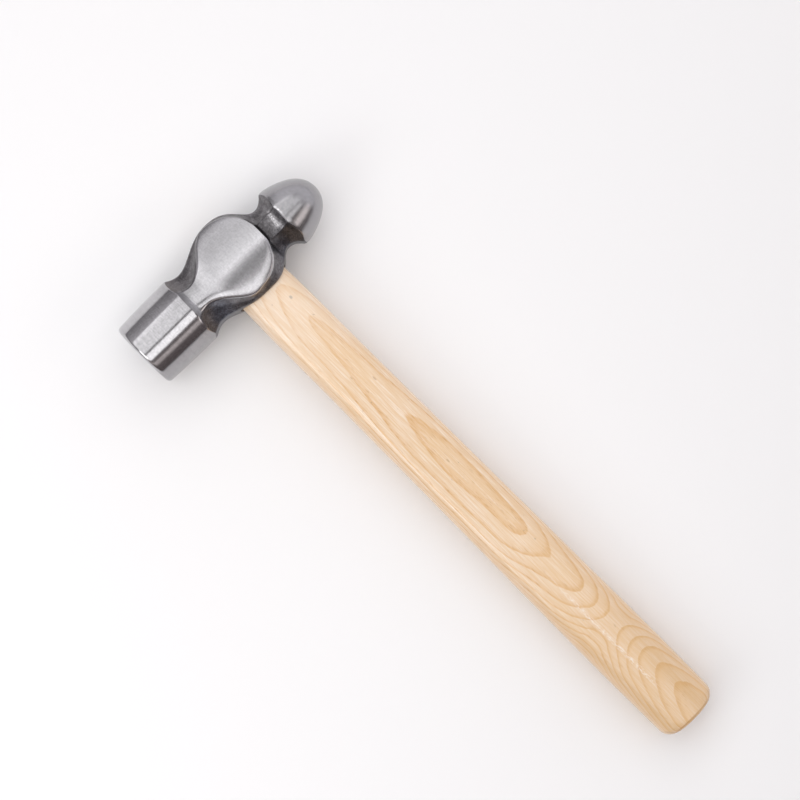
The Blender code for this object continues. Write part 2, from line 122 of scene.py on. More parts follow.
BUTT_Y = handle_low.y / MM
BUTT_CORNER_RADIUS = 6.4  # seen from above
BUTT_ARRIS_RADIUS = 1.4   # across the end's upper and lower edges
BUTT_CROWN = 0.7
ARRIS_LINE, ARRIS_LINE_WIDTH = 1.9, 0.45     # a darker line round the end's edge
BUTT_FLAT_SHARE = 0.5
HANDLE_HALF_WIDTH = [     # along X, from the eye to the butt, as (y, value)
    (BUTT_Y, 17.15), (-300.0, 17.5), (-270.0, 17.5), (-220.0, 17.1), (-160.0, 16.6), (-100.0, 16.2),
    (-60.0, 16.0), (-24.0, 15.7), (0.0, 14.6)]
HANDLE_HALF_THICKNESS = [
    (BUTT_Y, 12.7), (-300.0, 12.9), (-240.0, 12.5), (-150.0, 11.6), (-60.0, 10.8), (-24.0, 10.3), (0.0, 9.4)]
SHAVED_FROM_Y, SHAVED_FADE, SHAVED_SIZE = -24.0, 20.0, 16.0     # SHAVED_SIZE is about the half width

KERF_DEPTH_Y = -12.0
WOOD_WEDGE_TIP_Y = -8.0
WOOD_WEDGE_HALF_LENGTH = (14.2, 15.4)
WOOD_WEDGE_TOP, WOOD_WEDGE_TIP = 2.3, 0.6
STEEL_WEDGES = {"steel_wedge_face_side": -7.0, "steel_wedge_peen_side": 7.0}
STEEL_WEDGE_TIP_Y = 3.0
STEEL_WEDGE_HALF_WIDTH = 6.8
STEEL_WEDGE_TOP, STEEL_WEDGE_TIP = 1.3, 0.3
STEEL_WEDGE_LEVELS, BARB_DEPTH = 13, 0.12
SEAT_ABOVE_WEDGE = 8.0

# Where each stretch of a head's section starts, as numbers of steps round a quadrant.
FLAT_STEPS, RIDGE_STEPS, FLUTE_STEPS, RIM_STEPS, CHEEK_STEPS = 5, 4, 7, 6, 15

SHARP_ANGLE = math.radians(32)
PEEN_FINISH = 0.80        # how much the peen reflects, against the top of the barrel


def smooth_curve(points):
    """A natural cubic spline through (position, value) points, as a function of an array of positions."""
    at, value = np.array(sorted(points), float).T
    step = np.diff(at)
    slope = np.diff(value) / step
    matrix, right = np.eye(len(at)), np.zeros(len(at))
    for i in range(1, len(at) - 1):
        matrix[i, i - 1:i + 2] = step[i - 1], 2 * (step[i - 1] + step[i]), step[i]
        right[i] = 6 * (slope[i] - slope[i - 1])
    bend = np.linalg.solve(matrix, right)

    def curve(x):
        x = np.asarray(x, float)
        i = np.clip(np.searchsorted(at, x) - 1, 0, len(step) - 1)
        a, b, h = at[i + 1] - x, x - at[i], step[i]
        cubic = (bend[i] * a ** 3 + bend[i + 1] * b ** 3) / (6 * h)
        return cubic + (value[i] / h - bend[i] * h / 6) * a + (value[i + 1] / h - bend[i + 1] * h / 6) * b

    return curve


side_outline, side_flat = smooth_curve(SIDE_OUTLINE), smooth_curve(SIDE_FLAT)
cheek_outline, flute_depth = smooth_curve(CHEEK_OUTLINE), smooth_curve(FLUTE_DEPTH)
handle_half_width = smooth_curve(HANDLE_HALF_WIDTH)
handle_half_thickness = smooth_curve(HANDLE_HALF_THICKNESS)


def bump_at(x, centre, width):
    """A smooth bump of height 1."""
    return np.exp(-((x - centre) / width) ** 2)


def smooth_max(a, b, rounding):
    """The larger of two heights, with the corner between them rounded."""
    return (a + b + np.sqrt((a - b) ** 2 + rounding ** 2)) / 2


def barrel_radius(x):
    past = np.maximum(0.0, FACE_X + FACE_EDGE_RADIUS + BARREL_TAPER_LENGTH - x)
    return BARREL_RADIUS - BARREL_TAPER * (past / BARREL_TAPER_LENGTH) ** 2


def peen_radius(x):
    share = np.clip((x - PEEN_WIDEST_X) / (PEEN_TIP_X - PEEN_WIDEST_X), 0, 1)
    return PEEN_RADIUS * (np.sqrt(1 - share ** 2) - PEEN_FLANK * np.sin(np.pi * share))


def smooth_step(value, low, high):
    share = np.clip((value - low) / (high - low), 0, 1)
    return share ** 2 * (3 - 2 * share)


def cheek_half_width(x):
    """Half width of the ground cheek, or of the flat above the peen's neck."""
    narrow = WAIST_CHEEK_HALF_WIDTH
    waist = narrow + WAIST_SPREAD * (x - WAIST_X) ** 2
    growing = narrow + (CHEEK_RADIUS - narrow) * smooth_step(x, WAIST_X, CHEEK_CENTRE_X)
    along = np.clip((x - CHEEK_CENTRE_X) / CHEEK_RADIUS, 0, 1)
    round_end = CHEEK_RADIUS * (1 - along ** CHEEK_POWER) ** (1 / CHEEK_POWER)
    past_waist = np.where(x < CHEEK_CENTRE_X, growing, np.maximum(NECK_CHEEK_HALF_WIDTH, round_end))
    return np.where(x < WAIST_X, waist, past_waist)


def cheek_edge(x, side):
    """Where the cheek ends on the crown's side (+1) or on the handle's (-1), counted outwards."""
    starts = smooth_step(x, -24.0, -8.0) if side > 0 else smooth_step(x, -12.0, 2.0)
    return cheek_half_width(x) + side * CHEEK_CENTRE_Y * starts * (1 - smooth_step(x, 16.0, 21.0))


def neck_height(x):
    return side_outline(x + NECK_ADVANCE * (1 - smooth_step(x, 19.0, 28.0)))


def cheek_height(x, y):
    """Height of the cheek's surface over the head's axis, or of the neck's flat beyond the cheek's wall."""
    ground = cheek_outline(np.minimum(x, CHEEK_WALL_X))
    disc = bump_at(x, CHEEK_SWEEP_X, CHEEK_SWEEP_LENGTH)
    strip_end = bump_at(np.maximum(x, STRIP_END_X), STRIP_END_X, STRIP_END_LENGTH)
    plain = (1 - strip_end) / CHEEK_DOME_RADIUS + strip_end / STRIP_END_RADIUS
    crown_bend = plain + disc * (1 / CROWN_SWEEP_RADIUS - plain)
    handle_bend = plain + disc * (1 / HANDLE_SWEEP_RADIUS - plain)
    apex_y = CHEEK_APEX_Y * disc
    past = np.maximum(0.0, CHEEK_RIDGE_Y - y)
    crown_y = np.maximum(y, CHEEK_RIDGE_Y) - apex_y
    ridge_slope = (apex_y - CHEEK_RIDGE_Y) * crown_bend
    worn = np.maximum(0.0, -y - cheek_edge(x, -1) + WORN_EDGE_WIDTH)
    drop = crown_bend * crown_y ** 2 / 2 + ridge_slope * past + handle_bend * past ** 2 / 2
    domed = ground - drop - worn ** 2 / (2 * WORN_EDGE_RADIUS)
    wall = domed - CHEEK_WALL_SLOPE * np.maximum(0.0, x - CHEEK_WALL_X)
    return np.where(x > CHEEK_WALL_X, smooth_max(neck_height(x), wall, 0.5), domed)


def quadrant_lines(x, side):
    """Sections at the stations x, from the side flat up to the cheek's middle, as (station, line, yz).

    side is +1 for the crown's side and -1 for the handle's."""
    flat_y, flat_z, width = side_outline(x), side_flat(x), cheek_edge(x, side)
    if side < 0:
        flat_y = flat_y - HANDLE_LIP_DROP * bump_at(x, 0.0, HANDLE_LIP_WIDTH)
    corner = np.stack([flat_y, flat_z], -1)
    edge = np.stack([width, cheek_height(x, side * width)], -1)
    chord = edge - corner
    length = np.linalg.norm(chord, axis=-1, keepdims=True)
    inward = np.stack([chord[:, 1], -chord[:, 0]], -1) / length
    inward *= -np.sign((inward * corner).sum(-1, keepdims=True))
    depth = flute_depth(x)[:, None]

    def flute(share):
        return corner + chord * share + inward * 4 * share * (1 - share) * depth

    def cheek(y):
        return np.stack([y, cheek_height(x, side * y)], -1)

    ridge = np.minimum(RIDGE_ROUNDING, 0.3 * length)
    crown_rubbed = CROWN_SIDE_ROUNDING * bump_at(x, -16.0, 6.5)
    handle_rubbed = HANDLE_SIDE_ROUNDING * bump_at(x, -18.0, 12.0)
    wear_and_sheen = crown_rubbed if side > 0 else handle_rubbed
    rim = np.minimum(RIM_ROUNDING + wear_and_sheen[:, None], 0.45 * length)
    start, end = ridge / length, 1 - rim / length
    inner_y = width - np.minimum(RIM_ROUNDING + wear_and_sheen, 0.3 * width)
    below = corner - ridge * np.array([0.0, 1.0])
    points = []
    for i in range(FLAT_STEPS):
        points.append(np.stack([flat_y, below[:, 1] * i / FLAT_STEPS], -1))
    for i in range(RIDGE_STEPS):
        t = i / RIDGE_STEPS
        points.append((1 - t) ** 2 * below + 2 * t * (1 - t) * corner + t * t * flute(start))
    for i in range(FLUTE_STEPS):
        points.append(flute(start + (end - start) * i / FLUTE_STEPS))
    for i in range(RIM_STEPS):
        t = i / RIM_STEPS
        points.append((1 - t) ** 2 * flute(end) + 2 * t * (1 - t) * edge + t * t * cheek(inner_y))
    for i in range(CHEEK_STEPS + 1):
        points.append(cheek(inner_y * (1 - i / CHEEK_STEPS)))
    return np.stack(points, 1)


def section_lines(x):
    """Whole sections at the stations x, as (station, line, yz), once round from the crown's side flat."""
    crown, under = quadrant_lines(x, 1), quadrant_lines(x, -1)
    top = np.concatenate([crown, (under * [-1, 1])[:, -2::-1]], 1)
    return np.concatenate([top, (top * [1, -1])[:, -2:0:-1]], 1)


def stretch_names():
    """For each line round a section, which stretch it belongs to."""
    quarter = ["flat"] * FLAT_STEPS + ["ridge"] * RIDGE_STEPS + ["flute"] * FLUTE_STEPS
    quarter += ["rim"] * RIM_STEPS + ["cheek"] * (CHEEK_STEPS + 1)
    top = quarter + quarter[-2::-1]
    return top + top[-2:0:-1]


def middle_stations():
    """Stations of the head's middle, denser at its two rims and at the cheek's wall."""
    left = MIDDLE_ENDS[0] + np.array([0, 0.3, 0.65, 1.05, 1.5, 2.0])
    wall = CHEEK_WALL_X + np.array([-1.0, -0.4, -0.15, 0.0, 0.15, 0.4, 0.7, 1.0, 1.3, 1.6, 1.9, 2.3, 2.8])
    right = MIDDLE_ENDS[1] - np.array([2.0, 1.5, 1.05, 0.65, 0.3, 0])
    cheek = np.arange(left[-1] + 0.7, wall[0] - 0.4, 0.75)
    neck = np.arange(wall[-1] + 0.6, right[0] - 0.3, 0.6)
    return np.concatenate([left, cheek, wall, neck, right])


def middle_rings():
    """Rings of the head's middle, whose ends lie exactly on the barrel and on the peen."""
    west_end, east_end = MIDDLE_ENDS
    fine = np.arange(west_end, east_end + 0.01, 0.1)
    table = section_lines(fine)
    reach = np.linalg.norm(table, axis=-1)
    stations = middle_stations()
    rings = np.empty((len(stations), table.shape[1], 3))
    for k in range(table.shape[1]):
        over_barrel = reach[:, k] - barrel_radius(fine)
        over_peen = reach[:, k] - PEEN_RADIUS
        left = crossing(fine, over_barrel, LEFT_WARP_X, -1)
        right = crossing(fine, over_peen, RIGHT_WARP_X, 1)
        x = stations.copy()
        west, east = x < LEFT_WARP_X, x > RIGHT_WARP_X
        left_stretch = (left - LEFT_WARP_X) / (west_end - LEFT_WARP_X)
        right_stretch = (right - RIGHT_WARP_X) / (east_end - RIGHT_WARP_X)
        x[west] = LEFT_WARP_X + (x[west] - LEFT_WARP_X) * left_stretch
        x[east] = RIGHT_WARP_X + (x[east] - RIGHT_WARP_X) * right_stretch
        rings[:, k, 0] = x
        rings[:, k, 1] = np.interp(x, fine, table[:, k, 0])
        rings[:, k, 2] = np.interp(x, fine, table[:, k, 1])
    return rings


def crossing(at, value, start, direction):
    """The first position from start, going in a direction, at which value turns positive."""
    order = range(int(np.searchsorted(at, start)), len(at) if direction > 0 else -1, direction)
    last = order[0]
    for i in order:
        if value[i] > 0:
            share = value[last] / (value[last] - value[i]) if i != last else 0.0
            return at[last] + (at[i] - at[last]) * share
        last = i
    return at[last]


def turned(like, x, radius):
    """A ring on a turned surface that keeps the angles of the ring it continues."""
    angle = np.arctan2(like[:, 2], like[:, 1])
    x = np.broadcast_to(x, angle.shape)
    return np.stack([x, radius * np.cos(angle), radius * np.sin(angle)], -1)


def barrel_rings(rim):
    """The barrel from the middle's rim to the face's flat disc, last ring first."""
    edge_x = FACE_X + FACE_CROWN + FACE_EDGE_RADIUS
    rings = []
    for share in np.concatenate([[0.008, 0.02, 0.035], np.linspace(0.06, 1, 26)]):
        x = rim[:, 0] + (edge_x - rim[:, 0]) * share
        rings.append(turned(rim, x, barrel_radius(x)))
    edge_radius = float(barrel_radius(edge_x))
    for angle in np.linspace(0, math.pi / 2, 9)[1:]:
        x = edge_x - FACE_EDGE_RADIUS * math.sin(angle)
        rings.append(turned(rim, x, edge_radius - FACE_EDGE_RADIUS * (1 - math.cos(angle))))
    outer = edge_radius - FACE_EDGE_RADIUS
    for radius in np.linspace(outer, 0.6, 14)[1:]:
        bulge = (max(0.0, radius - FACE_FLAT_RADIUS) / (outer - FACE_FLAT_RADIUS)) ** 2
        rings.append(turned(rim, FACE_X + FACE_CROWN * bulge, radius))
    return rings[::-1]


def peen_rings(rim):
    """The peen from its base's rim to the last ring before its tip."""
    start = rim[:, 0]
    rings = []
    for share in (0.15, 0.4, 0.7):
        rings.append(turned(rim, start + (PEEN_WIDEST_X - start) * share, PEEN_RADIUS))
    for angle in np.linspace(0, math.pi / 2, 46)[:-1]:
        x = PEEN_WIDEST_X + (PEEN_TIP_X - PEEN_WIDEST_X) * math.sin(angle)
        rings.append(turned(rim, x, float(peen_radius(x))))
    return rings


def soften_rim(rings, at):
    """Rounds the edge that runs along one ring."""
    for r in 3 * (at - 1, at, at + 1):
        rings[r] = 0.5 * rings[r] + 0.25 * (rings[r - 1] + rings[r + 1])


def new_object(name, mesh):
    obj = bpy.data.objects.new(name, mesh)
    bpy.context.scene.collection.objects.link(obj)
    return obj


def closed_body(name, points, faces):
    """A closed body with its faces outwards. The points are in millimetres from the middle of the head."""
    mesh = bpy.data.meshes.new(name)
    mesh.from_pydata(((points + [0, 0, MIDDLE_Z]) * MM).tolist(), [], faces)
    shape = bmesh.new()
    shape.from_mesh(mesh)
    bmesh.ops.recalc_face_normals(shape, faces=shape.faces)
    if shape.calc_volume(signed=True) < 0:
        bmesh.ops.reverse_faces(shape, faces=shape.faces)
    shape.to_mesh(mesh)
    shape.free()
    return new_object(name, mesh)


def skin(name, rings, first_tip, last_tip):
    """One closed body over rings of equal count, with a fan to a tip at each end."""
    count = len(rings[0])
    points = np.concatenate([*rings, [first_tip, last_tip]])
    faces = []
    for r in range(len(rings) - 1):
        a, b = r * count, (r + 1) * count
        faces += [(a + i, a + (i + 1) % count, b + (i + 1) % count, b + i) for i in range(count)]
    last = (len(rings) - 1) * count
    faces += [((i + 1) % count, i, len(points) - 2) for i in range(count)]
    faces += [(last + i, last + (i + 1) % count, len(points) - 1) for i in range(count)]
    return closed_body(name, points, faces)


def point_attribute(obj, name, values):
    attribute = obj.data.attributes.new(name, "FLOAT", "POINT")
    attribute.data.foreach_set("value", np.asarray(values, np.float32))


def oval(half_length, half_width, steps):
    """Points (x, z) round a superellipse."""
    angle = np.linspace(0, 2 * math.pi, steps, endpoint=False)
    c, s = np.cos(angle), np.sin(angle)
    power = 2 / OVAL_POWER
    x, z = np.sign(c) * np.abs(c) ** power, np.sign(s) * np.abs(s) ** power
    return np.stack([half_length * x, half_width * z], -1)


def level_ring(xz, y):
    """A ring at one height along the handle."""
    return np.stack([xz[:, 0], np.full(len(xz), y), xz[:, 1]], -1)


def eye_size(y):
    share = (y / EYE_MOUTH_Y) ** 2
    return EYE_HALF_LENGTH + EYE_FLARE_LENGTH * share, EYE_HALF_WIDTH + EYE_FLARE_WIDTH * share


def subtract(obj, *cutters):
    """Cuts the cutters out of an object and removes them."""
    for cutter in cutters:
        modifier = obj.modifiers.new("cut", "BOOLEAN")
        modifier.operation, modifier.solver, modifier.object = "DIFFERENCE", "EXACT", cutter
    graph = bpy.context.evaluated_depsgraph_get()
    cut_obj = obj.evaluated_get(graph)
    mesh = bpy.data.meshes.new_from_object(cut_obj, preserve_all_data_layers=True, depsgraph=graph)
    obj.modifiers.clear()
    obj.data = mesh
    for cutter in cutters:
        bpy.data.objects.remove(cutter)


def finish_shape(obj):
    obj.data.shade_smooth()
    obj.data.set_sharp_from_angle(angle=SHARP_ANGLE)


PAINTED_HIGHLIGHT_Y, PAINTED_HIGHLIGHT_WIDTH = -1.0, 3.0     # a painted highlight along the disc
PAINTED_DARK_BAND_Y, PAINTED_DARK_BAND_WIDTH = -7.2, 3.8         # and a painted dark reflection beside it
RIM_GLINTS_Y, RIM_GLINTS_SPREAD, RIM_GLINTS_PER_MM = 2.9, 3.2, 2.9      # painted glints on the peen's rim


def cheek_painted_light(x, y):
    """Painted reflection and shade on the cheek: how brightly its colour is scaled, most along the ridge and
    on the strip, least by the crown's edge.
    """
    crown_sweep = 0.60 + 0.73 * np.exp(-(y - PAINTED_HIGHLIGHT_Y) / 10)
    handle_sweep = 1 + 0.33 * bump_at(y, PAINTED_HIGHLIGHT_Y, PAINTED_HIGHLIGHT_WIDTH)
    handle_sweep -= 0.30 * bump_at(y, PAINTED_DARK_BAND_Y, PAINTED_DARK_BAND_WIDTH)
    disc = np.where(y > PAINTED_HIGHLIGHT_Y, crown_sweep, handle_sweep)
    # Painted reflection and shade: the strip is brightest where it leaves the disc, darker on the crown's
    # side and in the barrel's corner.
    strip = 0.92 + 0.28 * bump_at(x, -18.0, 5.0)
    strip *= 1 + (0.42 * smooth_step(-y, -7.0, 1.0) - 0.30) * smooth_step(-x, 20.5, 24.5)
    strip *= 1 - 0.5 * smooth_step(-x, 29.0, 34.5)
    towards_barrel = smooth_step(-x, 8.0, 19.0)
    # Painted shade: a darker band just inside the cheek's edge on the handle's side.
    handle_edge = cheek_edge(x, -1)
    painted_dark_edge = smooth_step(-y, handle_edge - 3.6, handle_edge - 1.0) * smooth_step(-x, 4.0, 12.0)
    return (disc * (1 - towards_barrel) + strip * towards_barrel) * (1 - 0.22 * painted_dark_edge)


def head_surfaces(rings, left, right):
    """What the steel's material reads at each point of the rings, whose middle runs from ring left to right.

    ground: 1 where the steel is ground, 0 where it has its scale.
    scale_rust: how brown the scale is.
    painted_light_and_finish: how much the ground steel's colour is scaled, against the top of the barrel:
    painted reflections, shade and glints, and a lower level on the peen."""
    stretch = np.array(stretch_names())
    on_cheek = np.isin(stretch, ("rim", "cheek"))
    rim_at = FLAT_STEPS + RIDGE_STEPS + FLUTE_STEPS
    quarter = rim_at + RIM_STEPS + CHEEK_STEPS
    crown_rim = np.arange(rim_at, rim_at + 4)
    handle_rim = 2 * quarter - np.arange(rim_at, rim_at + 3)
    ground = np.ones((len(rings), len(stretch)))
    scale_rust = np.zeros_like(ground)
    painted_light_and_finish = np.ones_like(ground)
    # Painted shade: the barrel's colour is darker towards its rim on the crown's side, and all along the
    # handle's side.
    for r in range(left):
        x, y = rings[r][:, 0], rings[r][:, 1]
        painted_light_and_finish[r] = 1 - 0.16 * smooth_step(x, -46.0, -36.0) * smooth_step(y, -4.0, 6.0)
        painted_light_and_finish[r] *= 1 - 0.26 * smooth_step(-y, 10.5, 15.0)
    # On the middle only the cheeks are ground, and beside their strip the rim's outer part keeps its scale.
    for r in range(left, right + 1):
        x, y = rings[r][:, 0], rings[r][:, 1]
        ground[r] = on_cheek & (x <= CHEEK_WALL_X + 0.1)
        for line in (crown_rim, -crown_rim, handle_rim, -handle_rim):
            ground[r, line] *= smooth_step(x[line], -10.5, -6.5)
        scale_rust[r] = np.exp(-(x - rings[left][:, 0]) / 4.5) * ~on_cheek
        painted_light_and_finish[r] = np.where(on_cheek, cheek_painted_light(x, y), 1.0)
    painted_light_and_finish[right + 1:] = PEEN_FINISH
    # Painted highlight: glints on the upper side of the peen's rim, where its edge catches the light.
    for r in (right + 1, right + 2):
        y, z = rings[r][:, 1], rings[r][:, 2]
        glinting = bump_at(y, RIM_GLINTS_Y, RIM_GLINTS_SPREAD) * (z > 0) * (0.7 + 0.3 * np.sin(RIM_GLINTS_PER_MM * y))
        painted_light_and_finish[r] *= 1 + 1.1 * glinting
    return ground, scale_rust, painted_light_and_finish


def make_head():
    middle = middle_rings()
    barrel, peen = barrel_rings(middle[0]), peen_rings(middle[-1])
    rings = [*barrel, *middle, *peen]
    left, right = len(barrel), len(barrel) + len(middle) - 1
    soften_rim(rings, left)
    soften_rim(rings, right)
    head = skin("forged_head", rings, (FACE_X, 0, 0), (PEEN_TIP_X, 0, 0))
    ground, scale_rust, painted_light_and_finish = head_surfaces(rings, left, right)
    point_attribute(head, "ground", [*ground.ravel(), 1, 1])
    point_attribute(head, "painted_light_and_finish", [*painted_light_and_finish.ravel(), 1, PEEN_FINISH])
    point_attribute(head, "scale_rust", [*scale_rust.ravel(), 0, 0])

    reach = EYE_MOUTH_Y + 4
    eye_rings = []
    for y in np.linspace(-reach, reach, 33):
        length, width = eye_size(y)
        length += MOUTH_WIDENING * max(0.0, MOUTH_START_Y - y)
        eye_rings.append(level_ring(oval(length, width, EYE_STEPS), y))
    subtract(head, skin("eye", eye_rings, (0, -reach, 0), (0, reach, 0)))
    finish_shape(head)
    return head


def tenon_size(y):
    if y > 0:
        length, width = eye_size(y)
        return length - FIT_GAP, width - FIT_GAP
    return float(handle_half_width(y)), float(handle_half_thickness(y))


def crown_space():
    """The space above the line to which the tenon and its wedges are trimmed."""
    x = np.linspace(-CUTTER_HALF_SIZE, CUTTER_HALF_SIZE, 60)
    low = np.stack([x, side_outline(x) - TRIM_BELOW_CROWN], -1)
    top = ABOVE_CROWN_Y + 10
    outline = np.concatenate([low, [[x[-1], top], [x[0], top]]])
    ends = [np.full(len(outline), z) for z in (-CUTTER_HALF_SIZE, CUTTER_HALF_SIZE)]
    return prism("crown_space", [np.stack([outline[:, 0], outline[:, 1], end], -1) for end in ends])


def prism(name, rings):
    """A closed body between two rings, with flat ends."""
    count = len(rings[0])
    faces = [(i, (i + 1) % count, count + (i + 1) % count, count + i) for i in range(count)]
    faces += [tuple(range(count))[::-1], tuple(range(count, 2 * count))]
    return closed_body(name, np.concatenate(rings), faces)


def wedge(name, along, across, tip_y, top_y, centre_x=0.0):
    """A wedge pointing down -Y. along and across are half sizes along X and Z, each as (at tip, at top)."""
    rings = []
    for level, y in ((0, tip_y), (1, top_y)):
        a, b = along[level], across[level]
        rings.append(np.array([(a, y, -b), (a, y, b), (-a, y, b), (-a, y, -b)]) + [centre_x, 0, 0])
    return prism(name, rings)


def seat_spaces():
    """The spaces that the steel wedges are driven into."""
    half = STEEL_WEDGE_HALF_WIDTH + FIT_GAP
    spaces = []
    for name, x in STEEL_WEDGES.items():
        wedge_top_y = float(side_outline(x)) - TRIM_BELOW_CROWN - FIT_GAP
        taper = (STEEL_WEDGE_TOP - STEEL_WEDGE_TIP) / (wedge_top_y - STEEL_WEDGE_TIP_Y)
        thickness = (STEEL_WEDGE_TIP + FIT_GAP, STEEL_WEDGE_TOP + SEAT_ABOVE_WEDGE * taper + FIT_GAP)
        tip_y, top_y = STEEL_WEDGE_TIP_Y - FIT_GAP, wedge_top_y + SEAT_ABOVE_WEDGE
        spaces.append(wedge("seat_" + name, thickness, (half, half), tip_y, top_y, x))
    return spaces


def rounded(depth, radius):
    """How far an edge of a radius lies in from the side, at a depth from the end."""
    left = max(0.0, radius - depth)
    return radius - math.sqrt(radius ** 2 - left ** 2)


def shaved(y, inset=(0.0, 0.0)):
    """A ring of the handle, shaved to its oval by hand, so that its long faces are very slightly uneven."""
    half_width, half_thickness = tenon_size(y)
    ring = level_ring(oval(half_width - inset[0], half_thickness - inset[1], HANDLE_STEPS), y)
    angle = np.linspace(0, 2 * math.pi, HANDLE_STEPS, endpoint=False)
    fade = float(np.clip((SHAVED_FROM_Y - y) / SHAVED_FADE, 0, 1))
    uneven = 0.05 * np.sin(3 * angle + y / 31.0) + 0.04 * np.sin(5 * angle - y / 47.0 + 1.3)
    uneven += 0.03 * np.sin(2 * angle + y / 12.0)
    ring[:, [0, 2]] *= 1 + fade * uneven[:, None] / SHAVED_SIZE
    return ring


def handle_rings():
    """Rings of the handle from the butt's end, past the crown's line to which the tenon is trimmed."""
    rings = []
    wide, thick = tenon_size(BUTT_Y)
    inner = (wide - BUTT_CORNER_RADIUS, thick - BUTT_ARRIS_RADIUS)
    for share in np.linspace(0.04, 1, 14)[:-1]:
        rise = BUTT_CROWN * max(0.0, (share - BUTT_FLAT_SHARE) / (1 - BUTT_FLAT_SHARE)) ** 2
        rings.append(level_ring(oval(inner[0] * share, inner[1] * share, HANDLE_STEPS), BUTT_Y + rise))
    end_y = BUTT_Y + BUTT_CROWN
    for depth in BUTT_CORNER_RADIUS * np.linspace(0, 1, 19) ** 2:
        inset = (rounded(depth, BUTT_CORNER_RADIUS), rounded(depth, BUTT_ARRIS_RADIUS))
        rings.append(shaved(end_y + depth, inset))
    for y in np.linspace(end_y + BUTT_CORNER_RADIUS + 2.5, -1.5, 130):
        rings.append(shaved(y))
    for y in np.linspace(0.5, ABOVE_CROWN_Y, 22):
        rings.append(shaved(y))
    return rings


def end_line(at):
    """The sawn end's edge line, 1 on it, at an even distance inside the rounded outline of the end."""
    from_side, from_end = tenon_size(BUTT_Y)[0] - np.abs(at[:, 0]), at[:, 1] - BUTT_Y
    corner = BUTT_CORNER_RADIUS - np.hypot(BUTT_CORNER_RADIUS - from_side, BUTT_CORNER_RADIUS - from_end)
    in_corner = (from_side < BUTT_CORNER_RADIUS) & (from_end < BUTT_CORNER_RADIUS)
    inside = np.where(in_corner, corner, np.minimum(from_side, from_end))
    return bump_at(inside, ARRIS_LINE, ARRIS_LINE_WIDTH) * (1 - smooth_step(from_end, 3.0, 7.0))


def make_handle():
    rings = handle_rings()
    tips = [(0, BUTT_Y, 0), (0, ABOVE_CROWN_Y, 0)]
    handle = skin("ash_handle", rings, *tips)
    point_attribute(handle, "arris", end_line(np.concatenate([*rings, tips])))
    through = (CUTTER_HALF_SIZE, CUTTER_HALF_SIZE)
    thickness = (WOOD_WEDGE_TIP + FIT_GAP, WOOD_WEDGE_TOP + FIT_GAP)
    kerf = wedge("kerf", through, thickness, WOOD_WEDGE_TIP_Y, ABOVE_CROWN_Y + 1)
    saw = wedge("saw", through, (thickness[0], thickness[0]), KERF_DEPTH_Y, WOOD_WEDGE_TIP_Y + 2)
    subtract(handle, kerf, saw, *seat_spaces(), crown_space())
    finish_shape(handle)
    return handle


def make_wooden_wedge():
    thickness = (WOOD_WEDGE_TIP, WOOD_WEDGE_TOP)
    piece = wedge("beech_wedge", WOOD_WEDGE_HALF_LENGTH, thickness, WOOD_WEDGE_TIP_Y, ABOVE_CROWN_Y)
    subtract(piece, *seat_spaces(), crown_space())
    add_bevel(piece, 0.15)
    return piece


def make_steel_wedge(name, x):
    """A steel wedge, bevelled, with the barbs that hold it in the wood."""
    top_y = float(side_outline(x)) - TRIM_BELOW_CROWN - FIT_GAP
    wide = STEEL_WEDGE_HALF_WIDTH
    rings = []
    for i, share in enumerate(np.linspace(0, 1, STEEL_WEDGE_LEVELS)):
        half = STEEL_WEDGE_TIP + (STEEL_WEDGE_TOP - STEEL_WEDGE_TIP) * share
        level_y = STEEL_WEDGE_TIP_Y + (top_y - STEEL_WEDGE_TIP_Y) * share
        for barb in ((0.0,) if i in (0, STEEL_WEDGE_LEVELS - 1) else (0.0, BARB_DEPTH)):
            thin, y = half - barb, level_y + barb
            ring = [(thin, y, -wide), (thin, y, wide), (-thin, y, wide), (-thin, y, -wide)]
            rings.append(np.array(ring) + [x, 0, 0])
    piece = skin("driven_" + name, rings, (x, STEEL_WEDGE_TIP_Y, 0), (x, top_y, 0))
    add_bevel(piece, 0.12)
    return piece


def add_bevel(obj, width_mm):
    bevel = obj.modifiers.new("worn_edges", "BEVEL")
    bevel.width, bevel.segments, bevel.limit_method = width_mm * MM, 2, "ANGLE"
    bevel.angle_limit = math.radians(40)
    finish_shape(obj)


# Materials.

